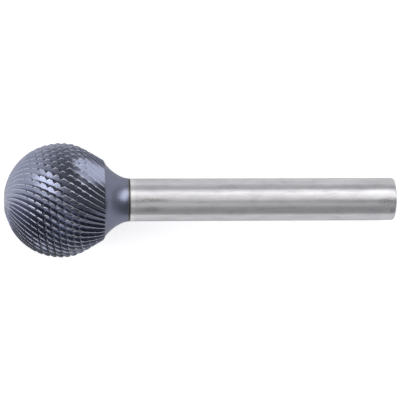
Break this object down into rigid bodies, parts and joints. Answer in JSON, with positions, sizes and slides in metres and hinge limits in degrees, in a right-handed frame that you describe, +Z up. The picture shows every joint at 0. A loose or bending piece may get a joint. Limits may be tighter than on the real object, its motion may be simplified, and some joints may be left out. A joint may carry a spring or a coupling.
{
  "type": "carbide burr",
  "caption": "Ball-shaped rotary burr of toothed carbide with crossed cuts, a tapered rear and a waisted neck, joined to a plain round shank for a collet. It lies at rest.",
  "frame": {"origin": "middle of the bounding box in X and Y, on the ground that the ball and the shank's end touch", "axes": "+X from the ball's tip towards the shank's end, seen from above; +Z up; the burr's own axis leans down to +X by 6.2 degrees"},
  "size_m": [0.055, 0.016, 0.016],
  "materials": {
    "coated_carbide": "satin blue-grey coating with bright cutting edges",
    "silver_solder": "dull grey solder, ground flush",
    "ground_steel": "fine cylindrical grinding, bright"
  },
  "bodies": {
    "root": {"carbide_head": "coated_carbide", "braze_seam": "silver_solder", "steel_shank": "ground_steel"}
  },
  "joints": []
}
